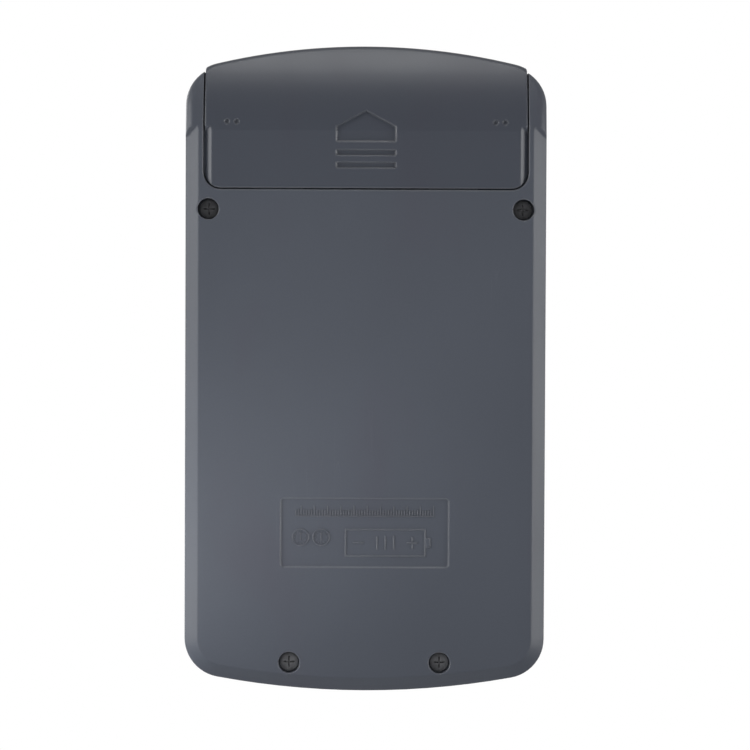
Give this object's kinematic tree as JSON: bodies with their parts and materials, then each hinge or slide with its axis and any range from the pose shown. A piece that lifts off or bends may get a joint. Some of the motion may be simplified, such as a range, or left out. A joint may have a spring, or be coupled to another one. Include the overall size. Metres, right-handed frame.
{
  "type": "pocket calculator",
  "caption": "Upright pocket calculator with a sloped display, a keypad of moulded keys and a sliding cover over a single AA cell in its back.",
  "frame": {"origin": "centre of the body on the surface that its flat back rests on", "axes": "+Z from the back towards the keys, +Y along the body towards the display and battery end, +X to the right as the keys are read"},
  "size_m": [0.068, 0.122, 0.0208],
  "materials": {
    "casing": "satin",
    "front_casing": "satin",
    "cover": "satin",
    "lens": "clear",
    "adhesive": "matte",
    "display_glass": "satin",
    "holder": "matte",
    "ribbon": "satin",
    "board": "satin",
    "potting": "gloss",
    "component_metal": "satin",
    "screw_steel": "satin",
    "silicone": "matte",
    "cell_can": "satin",
    "contact_metal": "bright",
    "red_insulation": "satin",
    "black_insulation": "satin",
    "digit_key": "satin",
    "function_key": "satin",
    "clear_key": "satin"
  },
  "bodies": {
    "case": {"rear_housing": "casing", "front_housing": "front_casing", "display_lens": "lens", "lens_adhesive": "adhesive", "lcd_panel": "display_glass", "lcd_holder": "holder", "lcd_ribbon": "ribbon", "circuit_board": "board", "chip_cover": "potting", "board_components": "component_metal", "board_screws": "screw_steel", "key_mat": "silicone", "aa_cell": "cell_can", "positive_contact": "contact_metal", "negative_contact": "contact_metal", "contact_spring": "contact_metal", "positive_lead": "red_insulation", "negative_lead": "black_insulation", "upper_case_screws": "screw_steel", "lower_case_screws": "screw_steel"},
    "cover": {"battery_cover": "cover"},
    "key_recall": {"key_recall": "function_key"},
    "key_memory_minus": {"key_memory_minus": "function_key"},
    "key_memory_plus": {"key_memory_plus": "function_key"},
    "key_root": {"key_root": "function_key"},
    "key_off": {"key_off": "function_key"},
    "key_7": {"key_7": "digit_key"},
    "key_8": {"key_8": "digit_key"},
    "key_9": {"key_9": "digit_key"},
    "key_percent": {"key_percent": "function_key"},
    "key_sign": {"key_sign": "function_key"},
    "key_4": {"key_4": "digit_key"},
    "key_5": {"key_5": "digit_key"},
    "key_6": {"key_6": "digit_key"},
    "key_times": {"key_times": "function_key"},
    "key_divide": {"key_divide": "function_key"},
    "key_1": {"key_1": "digit_key"},
    "key_2": {"key_2": "digit_key"},
    "key_3": {"key_3": "digit_key"},
    "key_minus": {"key_minus": "function_key"},
    "key_plus": {"key_plus": "function_key"},
    "key_on_clear": {"key_on_clear": "clear_key"},
    "key_0": {"key_0": "digit_key"},
    "key_point": {"key_point": "digit_key"},
    "key_equals": {"key_equals": "function_key"}
  },
  "joints": [
    {"name": "cover_slide", "type": "slide", "parent": "case", "child": "cover", "axis": [0, 1, 0], "range_m": [0, 0.03]},
    {"name": "press_recall", "type": "slide", "parent": "case", "child": "key_recall", "axis": [0, 0, -1], "range_m": [0, 0.001], "stiffness_N_per_m": 600, "deforming": ["key_mat"]},
    {"name": "press_memory_minus", "type": "slide", "parent": "case", "child": "key_memory_minus", "axis": [0, 0, -1], "range_m": [0, 0.001], "stiffness_N_per_m": 600, "deforming": ["key_mat"]},
    {"name": "press_memory_plus", "type": "slide", "parent": "case", "child": "key_memory_plus", "axis": [0, 0, -1], "range_m": [0, 0.001], "stiffness_N_per_m": 600, "deforming": ["key_mat"]},
    {"name": "press_root", "type": "slide", "parent": "case", "child": "key_root", "axis": [0, 0, -1], "range_m": [0, 0.001], "stiffness_N_per_m": 600, "deforming": ["key_mat"]},
    {"name": "press_off", "type": "slide", "parent": "case", "child": "key_off", "axis": [0, 0, -1], "range_m": [0, 0.001], "stiffness_N_per_m": 600, "deforming": ["key_mat"]},
    {"name": "press_7", "type": "slide", "parent": "case", "child": "key_7", "axis": [0, 0, -1], "range_m": [0, 0.001], "stiffness_N_per_m": 600, "deforming": ["key_mat"]},
    {"name": "press_8", "type": "slide", "parent": "case", "child": "key_8", "axis": [0, 0, -1], "range_m": [0, 0.001], "stiffness_N_per_m": 600, "deforming": ["key_mat"]},
    {"name": "press_9", "type": "slide", "parent": "case", "child": "key_9", "axis": [0, 0, -1], "range_m": [0, 0.001], "stiffness_N_per_m": 600, "deforming": ["key_mat"]},
    {"name": "press_percent", "type": "slide", "parent": "case", "child": "key_percent", "axis": [0, 0, -1], "range_m": [0, 0.001], "stiffness_N_per_m": 600, "deforming": ["key_mat"]},
    {"name": "press_sign", "type": "slide", "parent": "case", "child": "key_sign", "axis": [0, 0, -1], "range_m": [0, 0.001], "stiffness_N_per_m": 600, "deforming": ["key_mat"]},
    {"name": "press_4", "type": "slide", "parent": "case", "child": "key_4", "axis": [0, 0, -1], "range_m": [0, 0.001], "stiffness_N_per_m": 600, "deforming": ["key_mat"]},
    {"name": "press_5", "type": "slide", "parent": "case", "child": "key_5", "axis": [0, 0, -1], "range_m": [0, 0.001], "stiffness_N_per_m": 600, "deforming": ["key_mat"]},
    {"name": "press_6", "type": "slide", "parent": "case", "child": "key_6", "axis": [0, 0, -1], "range_m": [0, 0.001], "stiffness_N_per_m": 600, "deforming": ["key_mat"]},
    {"name": "press_times", "type": "slide", "parent": "case", "child": "key_times", "axis": [0, 0, -1], "range_m": [0, 0.001], "stiffness_N_per_m": 600, "deforming": ["key_mat"]},
    {"name": "press_divide", "type": "slide", "parent": "case", "child": "key_divide", "axis": [0, 0, -1], "range_m": [0, 0.001], "stiffness_N_per_m": 600, "deforming": ["key_mat"]},
    {"name": "press_1", "type": "slide", "parent": "case", "child": "key_1", "axis": [0, 0, -1], "range_m": [0, 0.001], "stiffness_N_per_m": 600, "deforming": ["key_mat"]},
    {"name": "press_2", "type": "slide", "parent": "case", "child": "key_2", "axis": [0, 0, -1], "range_m": [0, 0.001], "stiffness_N_per_m": 600, "deforming": ["key_mat"]},
    {"name": "press_3", "type": "slide", "parent": "case", "child": "key_3", "axis": [0, 0, -1], "range_m": [0, 0.001], "stiffness_N_per_m": 600, "deforming": ["key_mat"]},
    {"name": "press_minus", "type": "slide", "parent": "case", "child": "key_minus", "axis": [0, 0, -1], "range_m": [0, 0.001], "stiffness_N_per_m": 600, "deforming": ["key_mat"]},
    {"name": "press_plus", "type": "slide", "parent": "case", "child": "key_plus", "axis": [0, 0, -1], "range_m": [0, 0.001], "stiffness_N_per_m": 600, "deforming": ["key_mat"]},
    {"name": "press_on_clear", "type": "slide", "parent": "case", "child": "key_on_clear", "axis": [0, 0, -1], "range_m": [0, 0.001], "stiffness_N_per_m": 600, "deforming": ["key_mat"]},
    {"name": "press_0", "type": "slide", "parent": "case", "child": "key_0", "axis": [0, 0, -1], "range_m": [0, 0.001], "stiffness_N_per_m": 600, "deforming": ["key_mat"]},
    {"name": "press_point", "type": "slide", "parent": "case", "child": "key_point", "axis": [0, 0, -1], "range_m": [0, 0.001], "stiffness_N_per_m": 600, "deforming": ["key_mat"]},
    {"name": "press_equals", "type": "slide", "parent": "case", "child": "key_equals", "axis": [0, 0, -1], "range_m": [0, 0.001], "stiffness_N_per_m": 600, "deforming": ["key_mat"]}
  ]
}
